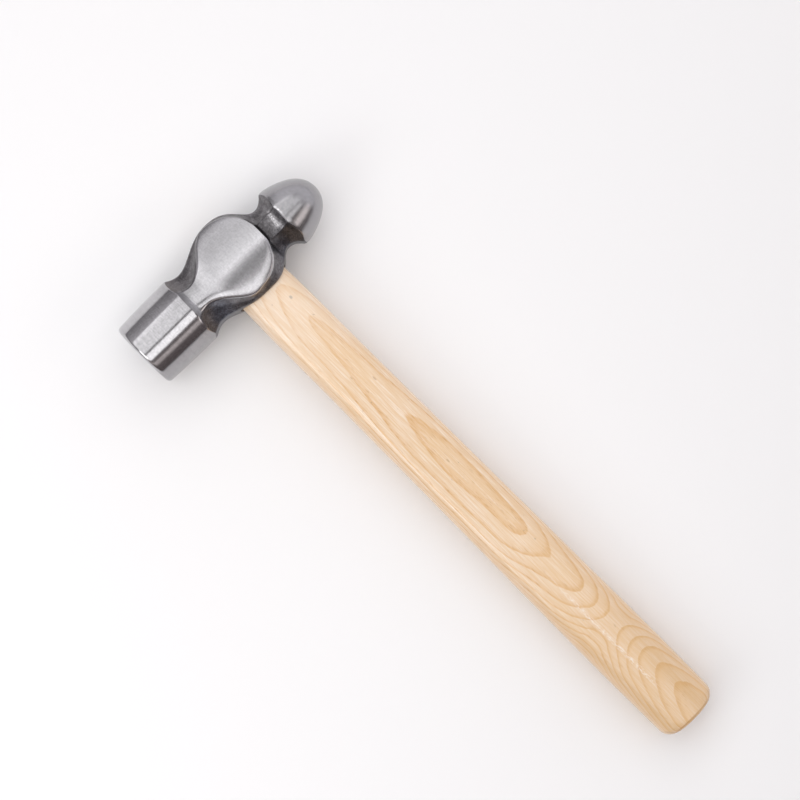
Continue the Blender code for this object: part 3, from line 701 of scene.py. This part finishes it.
class Tree:
    """Writes a node tree with one short call for each node."""

    def __init__(self, owner):
        owner.use_nodes = True
        self.tree = owner.node_tree
        self.shader = self.tree.nodes.get("Principled BSDF")

    def node(self, kind, inputs=None, **settings):
        made = self.tree.nodes.new(kind)
        for key, value in settings.items():
            setattr(made, key, value)
        for key, value in (inputs or {}).items():
            self.put(value, made.inputs[key])
        return made

    def put(self, value, socket):
        if isinstance(value, bpy.types.NodeSocket):
            self.tree.links.new(value, socket)
        elif isinstance(value, (tuple, list)) and len(value) == 3 and len(socket.default_value) == 4:
            socket.default_value = (*value, 1)
        else:
            socket.default_value = value

    def shade(self, **inputs):
        for key, value in inputs.items():
            self.put(value, self.shader.inputs[key.replace("_", " ")])

    def place(self):
        """Object coordinates in millimetres, from the middle of the head."""
        at = self.node("ShaderNodeTexCoord").outputs["Object"]
        return self.scale(self.vector_maths("ADD", at, (0, 0, -MIDDLE_Z * MM)), 1 / MM)

    def split(self, vector):
        """The three sockets of a vector's parts."""
        return self.node("ShaderNodeSeparateXYZ", {0: vector}).outputs

    def maths(self, operation, a, b=0.0):
        return self.node("ShaderNodeMath", {0: a, 1: b}, operation=operation).outputs[0]

    def plus(self, a, b):
        return self.maths("ADD", a, b)

    def minus(self, a, b):
        return self.maths("SUBTRACT", a, b)

    def times(self, product, *factors):
        for factor in factors:
            product = self.maths("MULTIPLY", product, factor)
        return product

    def vector_maths(self, operation, vector, other):
        return self.node("ShaderNodeVectorMath", {0: vector, 1: other}, operation=operation).outputs[0]

    def stretch(self, vector, x, y, z):
        """A vector or a colour with each part multiplied."""
        return self.vector_maths("MULTIPLY", vector, (x, y, z))

    def scale(self, vector, amount):
        return self.node("ShaderNodeVectorMath", {0: vector, "Scale": amount}, operation="SCALE").outputs[0]

    def noise(self, vector, scale, detail=2.0, roughness=0.5, distortion=0.0):
        return self.node("ShaderNodeTexNoise", {
            "Vector": vector, "Scale": scale, "Detail": detail, "Roughness": roughness,
            "Distortion": distortion}).outputs["Fac"]

    def ramp(self, value, low, high, to_low=0.0, to_high=1.0, smooth=True):
        return self.node("ShaderNodeMapRange", {
            "Value": value, "From Min": low, "From Max": high, "To Min": to_low, "To Max": to_high},
            interpolation_type="SMOOTHSTEP" if smooth else "LINEAR").outputs["Result"]

    def mix(self, share, a, b):
        """A mixed colour."""
        made = self.node("ShaderNodeMix", data_type="RGBA")
        self.put(share, made.inputs["Factor"])
        self.put(a, made.inputs[6])
        self.put(b, made.inputs[7])
        return made.outputs[2]

    def blend(self, share, a, b):
        """A mixed number."""
        made = self.node("ShaderNodeMix", data_type="FLOAT")
        self.put(share, made.inputs[0])
        self.put(a, made.inputs[2])
        self.put(b, made.inputs[3])
        return made.outputs[0]

    def attribute(self, name):
        return self.node("ShaderNodeAttribute", attribute_name=name).outputs["Fac"]

    def bump(self, height, distance_mm, strength=1.0, normal=None):
        inputs = {"Height": height, "Distance": distance_mm * MM, "Strength": strength}
        if normal is not None:
            inputs["Normal"] = normal
        return self.node("ShaderNodeBump", inputs).outputs["Normal"]


def ground_steel(t, at):
    """Colour, roughness and height of the ground steel.

    Fine belt marks run round the head's axis, so they vary fast along X and slowly round it."""
    marks = t.noise(t.stretch(at, 4.5, 0.12, 0.12), 1.0, 4.0, 0.7)
    cloud = t.noise(at, 0.12, 3.0, 0.6)
    turning = t.noise(t.stretch(at, 1.5, 0.09, 0.09), 1.0, 4.0, 0.7)
    colour = t.mix(t.ramp(marks, 0.3, 0.7), (0.49, 0.483, 0.498), (0.55, 0.543, 0.558))
    colour = t.mix(t.ramp(cloud, 0.35, 0.75, 0.0, 0.5), colour, (0.47, 0.46, 0.475))
    colour = t.mix(t.ramp(turning, 0.40, 0.56, 0.35, 0.0), colour, (0.40, 0.392, 0.405))
    # The peen and the cheeks are finished less finely than the barrel, with scratches that cross.
    x = t.split(at)[0]
    coarse = t.maths("MAXIMUM", t.ramp(x, -32.0, -15.0, 0.0, 0.7), t.ramp(x, 28.0, 32.0))
    coarse_colour = t.mix(t.ramp(marks, 0.3, 0.7), (0.42, 0.413, 0.428), (0.48, 0.473, 0.488))
    crossing = t.plus(t.noise(t.stretch(at, 1.7, 0.45, 1.7), 1.0, 4.0, 0.75),
                      t.noise(t.stretch(at, 0.45, 1.7, 1.7), 1.0, 4.0, 0.75))
    # The attribute scales the colour with painted reflections, shade and glints, and the crossing scratches
    # vary it a little.
    shine = t.times(t.attribute("painted_light_and_finish"), t.ramp(crossing, 0.78, 1.22, 0.90, 1.10))
    roughness = t.plus(t.blend(marks, 0.10, 0.20), t.times(coarse, 0.09))
    return t.scale(t.mix(coarse, colour, coarse_colour), shine), roughness, marks


NECK_HIGHLIGHT_X, NECK_HIGHLIGHT_SLANT = 27.9, 0.21    # the line across the neck's flat where a highlight is painted


def forging_scale(t, at):
    """Colour, roughness and height of the dark grey scale, with its soft clouds and fine pits."""
    x, y, _ = t.split(at)
    mottle = t.noise(at, 0.30, 5.0, 0.58)
    grain = t.noise(at, 1.9, 3.0, 0.6)
    colour = t.mix(t.ramp(mottle, 0.34, 0.70), (0.115, 0.109, 0.114), (0.205, 0.197, 0.207))
    # It is browner near the barrel's rim.
    brown = t.times(t.attribute("scale_rust"), t.ramp(mottle, 0.3, 0.6, 0.15, 0.5))
    colour = t.mix(brown, colour, (0.085, 0.064, 0.055))
    # In the flutes beside the handle it is bluer, which offsets the wood's reflection.
    flutes = t.times(t.ramp(y, -14.0, -2.0, 0.7, 0.0), t.ramp(t.maths("ABSOLUTE", x), 14.0, 25.0))
    colour = t.mix(flutes, colour, t.stretch(colour, 0.88, 1.03, 1.25))
    # Painted shade: the scale is darkened almost to black in the neck beside the cheek and on the handle's
    # side, where shade falls.
    beside_cheek = t.times(t.ramp(x, 21.0, 26.0, 0.6, 0.0), t.ramp(y, 3.0, 9.0, 1.0, 0.0))
    painted_shade = t.maths("MAXIMUM", beside_cheek, t.ramp(y, -6.0, -2.5, 0.5, 0.0))
    colour = t.mix(t.times(painted_shade, t.ramp(x, 16.0, 19.0)), colour, (0.040, 0.037, 0.038))
    # Painted highlight: a bright line across the neck's flat, where it reflects the window, broken into
    # scratch-like streaks.
    off_line = t.maths("ABSOLUTE", t.minus(t.minus(x, NECK_HIGHLIGHT_X), t.times(y, NECK_HIGHLIGHT_SLANT)))
    neck_highlight = t.plus(t.ramp(off_line, 0.25, 0.95, 0.70, 0.0), t.ramp(off_line, 1.0, 3.5, 0.20, 0.0))
    neck_highlight = t.times(neck_highlight, t.ramp(y, -4.0, -2.4), t.ramp(y, 6.0, 7.6, 1.0, 0.0))
    highlight_streaks = t.noise(t.stretch(at, 2.6, 0.6, 2.6), 1.0, 4.0, 0.75)
    colour = t.mix(t.times(neck_highlight, t.ramp(highlight_streaks, 0.42, 0.56)), colour, (0.60, 0.59, 0.60))
    pitting = t.ramp(t.noise(at, 1.3, 4.0, 0.75), 0.36, 0.64, 0.70, 1.32)
    relief = t.plus(mottle, t.times(grain, 0.45))
    return t.scale(colour, pitting), t.ramp(grain, 0.3, 0.7, 0.25, 0.38), relief


def head_material():
    """Steel: ground bright on barrel, cheeks and peen, with forging scale in the neck, waist and flutes."""
    material = bpy.data.materials.new("forged_steel")
    t = Tree(material)
    at = t.place()
    bright, bright_rough, marks = ground_steel(t, at)
    dark, dark_rough, relief = forging_scale(t, at)
    # The boundary between the two wanders a little.
    wander = t.times(t.minus(t.noise(at, 0.8, 3.0, 0.6), 0.5), 0.5)
    ground = t.ramp(t.plus(t.attribute("ground"), wander), 0.38, 0.62)
    t.shade(Base_Color=t.mix(ground, dark, bright), Metallic=1.0,
            Roughness=t.blend(ground, dark_rough, bright_rough))
    forged_normal = t.bump(relief, 0.10, t.minus(1.0, ground))
    t.shade(Normal=t.bump(marks, 0.006, ground, forged_normal))
    return material


RING_PITCH = 2.1
RING_TILT = 0.18          # rise along X
RING_DRIFTS = [           # (stretch of the noise, how far it moves the rings)
    ((0.05, 0.012, 0.05), 0.9), ((0.25, 0.035, 0.25), 0.5), ((2.2, 0.06, 2.2), 0.10)]
RING_SPAN = (BUTT_Y - 5, 30.0)           # the stretch of the handle that the rings' curve covers
RINGS_PER_UNIT, RINGS_ADDED = 10.0, 4.0  # they keep the curve's heights between 0 and 1
RING_CURVE_POINTS = 72
ARCH_X = 4.5              # the arches' tips lie along this line
ARCH_TIPS = [             # (y, ring) where each ring comes to the surface along that line
    (RING_SPAN[0], 6.1), (-316.0, 5.0), (-302.5, 4.0), (-291.0, 3.0), (-283.8, 2.0), (-275.2, 1.0),
    (-269.6, 0.66), (-264.8, 1.0), (-256.0, 2.0), (-245.5, 3.0), (-221.2, 4.0), (-205.7, 5.0), (-185.0, 5.3),
    (-160.0, 5.42), (-135.0, 5.3), (-118.0, 5.0), (-90.0, 4.45), (-65.0, 4.2), (-49.0, 4.0), (-30.0, 3.3),
    (-10.0, 2.4), (RING_SPAN[1], 1.0)]
WOOD_MARKS = [            # (x, y, half width, half length, colour) of the knots' traces on the upper side
    (6.3, -33.4, 0.9, 1.3, (0.40, 0.34, 0.28)), (7.2, -94.0, 0.6, 1.8, (0.55, 0.33, 0.17)),
    (-1.2, -85.5, 0.5, 1.3, (0.60, 0.38, 0.20)), (3.9, -151.0, 0.5, 1.5, (0.52, 0.33, 0.18))]
# Where the painted highlight runs along the grip.
SHEEN_LINE_X = -1.9


def growth_ring(t, at):
    """How far each point lies through its growth ring, from 0 to 1.

    The rings are nearly level sheets, tilted a little, that dip in the grip and swell in the shaft."""
    x, y, z = t.split(at)
    ring_depth = t.node("ShaderNodeFloatCurve", {"Value": t.ramp(y, *RING_SPAN, smooth=False)})
    set_ring_curve(ring_depth.mapping.curves[0])
    level = t.plus(z, t.times(ring_depth.outputs[0], RINGS_PER_UNIT * RING_PITCH))
    level = t.plus(level, t.times(x, RING_TILT))
    for stretch, amount in RING_DRIFTS:
        drift = t.noise(t.stretch(at, *stretch), 1.0, 2.0, 0.5)
        level = t.plus(level, t.times(t.minus(drift, 0.5), amount))
    return t.maths("FRACT", t.maths("DIVIDE", level, RING_PITCH))


def ash_grain(t, at):
    """Colour, fibres and pores of the plain wood."""
    y = t.split(at)[1]
    ring = growth_ring(t, at)
    fibre = t.noise(t.stretch(at, 5.0, 0.07, 5.0), 1.0, 3.0, 0.6)
    streaks = t.noise(t.stretch(at, 1.5, 0.055, 1.5), 1.0, 3.0, 0.65)
    dashes = t.noise(t.stretch(at, 2.2, 0.20, 2.2), 1.0, 2.0, 0.6)
    patch = t.noise(t.stretch(at, 0.08, 0.016, 0.08), 1.0, 2.0, 0.5)
    colour = t.mix(t.ramp(patch, 0.3, 0.7), (0.87, 0.69, 0.52), (0.855, 0.645, 0.43))
    colour = t.mix(t.ramp(streaks, 0.44, 0.60, 0.0, 0.75), colour, (0.80, 0.55, 0.31))
    colour = t.mix(t.ramp(streaks, 0.34, 0.46, 0.75, 0.0), colour, (0.95, 0.81, 0.68))
    colour = t.mix(t.ramp(fibre, 0.35, 0.7, 0.0, 0.35), colour, (0.78, 0.555, 0.35))
    # Painted light: the wood is paler towards the head, lifting the shade that the head casts on the handle.
    colour = t.mix(t.ramp(y, -85.0, -30.0, 0.0, 0.35), colour, (0.97, 0.82, 0.67))
    # Each ring starts sharply with a line of porous early wood and fades into pale late wood, with the least
    # contrast beside the head and the most at the butt.
    contrast = t.times(t.ramp(y, -125.0, -50.0, 1.0, 0.5), t.ramp(y, -320.0, -190.0, 1.7, 1.0))
    starts = t.ramp(ring, 0.0, 0.06)
    line = t.times(starts, t.ramp(ring, 0.08, 0.34, 1.0, 0.0), contrast)
    fade = t.times(starts, t.ramp(ring, 0.05, 0.80, 1.0, 0.0), contrast)
    colour = t.mix(t.times(fade, 0.42), colour, (0.79, 0.51, 0.245))
    colour = t.mix(t.times(line, t.ramp(dashes, 0.35, 0.65, 0.25, 0.85)), colour, (0.70, 0.39, 0.14))
    pores = t.times(t.ramp(dashes, 0.60, 0.70), t.ramp(fade, 0.1, 0.9, 0.10, 0.6))
    colour = t.mix(pores, colour, (0.56, 0.30, 0.12))
    flecks = t.ramp(t.noise(t.stretch(at, 0.75, 0.28, 0.75), 1.0, 2.0, 0.5, 0.4), 0.735, 0.78, 0.0, 0.6)
    return t.mix(flecks, colour, (0.34, 0.24, 0.17)), fibre, pores


def ash_material():
    """Lacquered ash: flat-sawn arches, open pores in the early wood, darker end grain at the butt."""
    material = bpy.data.materials.new("ash")
    t = Tree(material)
    at = t.place()
    x, y, z = t.split(at)
    upper = t.maths("GREATER_THAN", z, 0.0)
    colour, fibre, pores = ash_grain(t, at)
    for mark_x, mark_y, half_width, half_length, tone in WOOD_MARKS:
        across = t.maths("DIVIDE", t.minus(x, mark_x), half_width)
        along = t.maths("DIVIDE", t.minus(y, mark_y), half_length)
        reach = t.plus(t.times(across, across), t.times(along, along))
        colour = t.mix(t.times(upper, t.ramp(reach, 0.2, 1.0, 0.6, 0.0)), colour, tone)
    # Towards the butt the wood is darker.
    colour = t.mix(t.ramp(y, -330.0, -150.0, 0.55, 0.0), colour, (0.71, 0.465, 0.23))
    # Painted highlight: a broken pale streak along the grip, where the lacquer reflects a light.
    ridge = t.ramp(t.maths("ABSOLUTE", t.minus(x, SHEEN_LINE_X)), 0.2, 1.7, 1.0, 0.0)
    ridge = t.times(ridge, t.ramp(y, -312.0, -300.0), t.ramp(y, -250.0, -225.0, 1.0, 0.0))
    wear_and_sheen = t.ramp(t.noise(t.stretch(at, 1.8, 0.45, 1.8), 1.0, 3.0, 0.7), 0.44, 0.62, 0.0, 0.6)
    colour = t.mix(t.times(ridge, wear_and_sheen, upper), colour, (0.97, 0.92, 0.88))
    # End grain takes up more lacquer, and so does the line round it.
    facing = t.maths("ABSOLUTE", t.split(t.node("ShaderNodeNewGeometry").outputs["Normal"])[1])
    end_grain = t.ramp(facing, 0.72, 0.9)
    colour = t.mix(t.times(end_grain, 0.55), colour, (0.55, 0.33, 0.15))
    colour = t.mix(t.times(t.attribute("arris"), 0.75), colour, (0.50, 0.27, 0.10))
    t.shade(Base_Color=colour, Roughness=t.ramp(fibre, 0.3, 0.7, 0.36, 0.48), Coat_Weight=0.9,
            Coat_Roughness=0.19)
    relief = t.minus(t.times(fibre, 0.5), t.times(pores, 1.2))
    t.shade(Normal=t.bump(relief, 0.045, 0.8))
    return material


def set_ring_curve(curve):
    """Sets the depth of the rings along the handle so that the arches' tips come out in their places."""
    low, high = RING_SPAN
    arches = smooth_curve(ARCH_TIPS)
    while len(curve.points) < RING_CURVE_POINTS:
        curve.points.new(0.5, 0.5)
    for point, y in zip(curve.points, np.linspace(low, high, RING_CURVE_POINTS)):
        surface = 0.98 * float(handle_half_thickness(min(y, 0.0))) + RING_TILT * ARCH_X
        depth = (float(arches(y)) + RINGS_ADDED - surface / RING_PITCH) / RINGS_PER_UNIT
        point.location = ((y - low) / (high - low), depth)
        point.handle_type = "AUTO"


def beech_material():
    material = bpy.data.materials.new("beech")
    t = Tree(material)
    at = t.place()
    rays = t.noise(t.stretch(at, 1.6, 1.6, 7.0), 1.0, 3.0, 0.6)
    colour = t.mix(t.ramp(rays, 0.3, 0.7), (0.44, 0.27, 0.145), (0.30, 0.165, 0.08))
    t.shade(Base_Color=colour, Roughness=0.62, Normal=t.bump(rays, 0.08, 0.8))
    return material


def wedge_steel_material():
    material = bpy.data.materials.new("mild_steel")
    t = Tree(material)
    at = t.place()
    dents = t.noise(at, 0.8, 4.0, 0.6)
    colour = t.mix(t.ramp(dents, 0.35, 0.7), (0.20, 0.195, 0.195), (0.42, 0.415, 0.42))
    t.shade(Base_Color=colour, Metallic=1.0, Roughness=t.ramp(dents, 0.3, 0.7, 0.32, 0.5))
    t.shade(Normal=t.bump(dents, 0.15, 0.9))
    return material


# Stage, lights and camera.

def floor_material():
    material = bpy.data.materials.new("pale_floor")
    t = Tree(material)
    t.shade(Base_Color=(0.94, 0.94, 0.945), Roughness=0.9, Specular_IOR_Level=0.1)
    return material


FLOOR_HALF_SIZE = 8.0
BUTT_REST_Y = -300.0      # where the handle touches the floor


def make_floor():
    """A wide pale floor that the lower cheek and the butt's underside both rest on."""
    half = FLOOR_HALF_SIZE
    mesh = bpy.data.meshes.new("floor")
    corners = [(-half, -half, 0), (half, -half, 0), (half, half, 0), (-half, half, 0)]
    mesh.from_pydata(corners, [], [(0, 1, 2, 3)])
    mesh.materials.append(floor_material())
    floor = new_object("floor", mesh)
    butt_z = MIDDLE_Z - float(handle_half_thickness(BUTT_REST_Y))
    floor.rotation_euler.x = -math.atan2(butt_z, -BUTT_REST_Y)


def area_light(name, centre, aim, width, height, radiance):
    """A white softbox of a given radiance."""
    light = bpy.data.lights.new(name, "AREA")
    light.shape, light.size, light.size_y = "RECTANGLE", width, height
    light.energy = radiance * width * height * math.pi
    obj = new_object(name, light)
    obj.location = centre
    back = Vector(centre) - Vector(aim)
    obj.rotation_mode = "QUATERNION"
    obj.rotation_quaternion = back.to_track_quat("Z", "Y")
    return obj


LIGHT_HEIGHT = 0.94
SOFTBOXES = {             # name: (from x, to x, from y, to y, radiance)
    "softbox_crown": (-1.2, 1.2, -0.095, 1.00, 1.14),
    "softbox_grip": (-1.1, 0.2, -0.62, -0.198, 1.65),
    "softbox_grip_end": (0.2, 1.1, -0.43, -0.198, 1.5),
}
WINDOW = dict(centre=(-0.95, -0.06, 0.62), aim=(0.0, -0.06, 0.03), width=0.55, height=0.42, radiance=3.4)


def make_lights():
    """Softboxes to both sides of the camera and a window beyond the striking face."""
    for name, (low_x, high_x, low_y, high_y, radiance) in SOFTBOXES.items():
        x, y = (low_x + high_x) / 2, (low_y + high_y) / 2
        area_light(name, (x, y, LIGHT_HEIGHT), (x, y, 0), high_x - low_x, high_y - low_y, radiance)
    area_light("window", **WINDOW)


def make_room():
    """The dim room that the steel reflects. The camera sees it as an even white."""
    world = bpy.data.worlds.new("room")
    bpy.context.scene.world = world
    t = Tree(world)
    background = t.tree.nodes["Background"]
    x, y, z = t.split(t.node("ShaderNodeTexCoord").outputs["Generated"])
    # Angle from overhead towards the handle's side, in degrees.
    angle = t.times(t.maths("ARCTAN2", t.times(y, -1.0), z), 180 / math.pi)
    dark, wall = (0.12, 0.11, 0.115), (0.28, 0.27, 0.28)
    crown_side = t.mix(t.ramp(angle, -90.0, -50.0), wall, (0.52, 0.50, 0.52))
    crown_side = t.mix(t.ramp(angle, -48.0, -30.0), crown_side, dark)
    room = t.mix(t.ramp(angle, 0.0, 30.0), crown_side, (0.16, 0.135, 0.135))
    # A warm pale band low on the handle's side, brighter and broader towards the peen.
    towards_peen = t.ramp(x, 0.0, 0.6, smooth=False)
    lower_edge = t.ramp(t.plus(angle, t.times(towards_peen, 3.0)), 43.0, 49.0)
    upper_edge = t.ramp(t.minus(angle, t.times(towards_peen, 9.0)), 56.0, 62.0, 1.0, 0.0)
    band = t.times(lower_edge, upper_edge, t.ramp(x, 0.0, 0.25, 0.36, 1.0))
    room = t.mix(band, room, (1.6, 1.47, 1.42))
    # The room is light beyond the peen, and low beyond the crown.
    low_beyond_crown = t.times(t.ramp(x, 0.08, 0.5), t.ramp(angle, -52.0, -40.0, 1.0, 0.0))
    room = t.mix(low_beyond_crown, room, (0.96, 0.94, 0.98))
    room = t.mix(t.ramp(x, 0.70, 0.86), room, (0.95, 0.93, 0.97))
    seen = t.node("ShaderNodeLightPath").outputs["Is Camera Ray"]
    t.put(t.mix(seen, room, (0.93, 0.93, 0.935)), background.inputs["Color"])


CAMERA_AT = (-0.0373, -0.1376, 1.0)      # from the middle of the head
CAMERA_AIM = (0.00904, -0.11099, 0.0)
CAMERA_LENS = 86.1
CAMERA_ROLL = math.radians(45.0)         # the image's upward direction lies between +X and +Y


def make_camera():
    data = bpy.data.cameras.new("camera")
    data.lens, data.sensor_width = CAMERA_LENS, 36.0
    data.clip_start, data.clip_end = 0.05, 50.0
    camera = new_object("camera", data)
    middle = Vector((0, 0, MIDDLE_Z * MM))
    at, aim = Vector(CAMERA_AT) + middle, Vector(CAMERA_AIM) + middle
    back = (at - aim).normalized()
    up = Vector((math.cos(CAMERA_ROLL), math.sin(CAMERA_ROLL), 0))
    right = up.cross(back).normalized()
    up = back.cross(right)
    camera.matrix_world = Matrix.Translation(at) @ Matrix((right, up, back)).transposed().to_4x4()
    bpy.context.scene.camera = camera


def main():
    scene = bpy.context.scene
    scene.view_settings.view_transform = "Standard"
    make_camera()
    pieces = [
        (make_head(), head_material(), "forged_steel", "head"),
        (make_handle(), ash_material(), "ash", "handle"),
        (make_wooden_wedge(), beech_material(), "beech", "wooden_wedge"),
    ]
    steel = wedge_steel_material()
    for name, x in STEEL_WEDGES.items():
        pieces.append((make_steel_wedge(name, x), steel, "mild_steel", name))
    for piece, material, slot, node in pieces:
        piece.data.materials.clear()
        piece.data.materials.append(material)
        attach(piece, "root")
        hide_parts(node)
    make_floor()
    make_lights()
    make_room()


main()
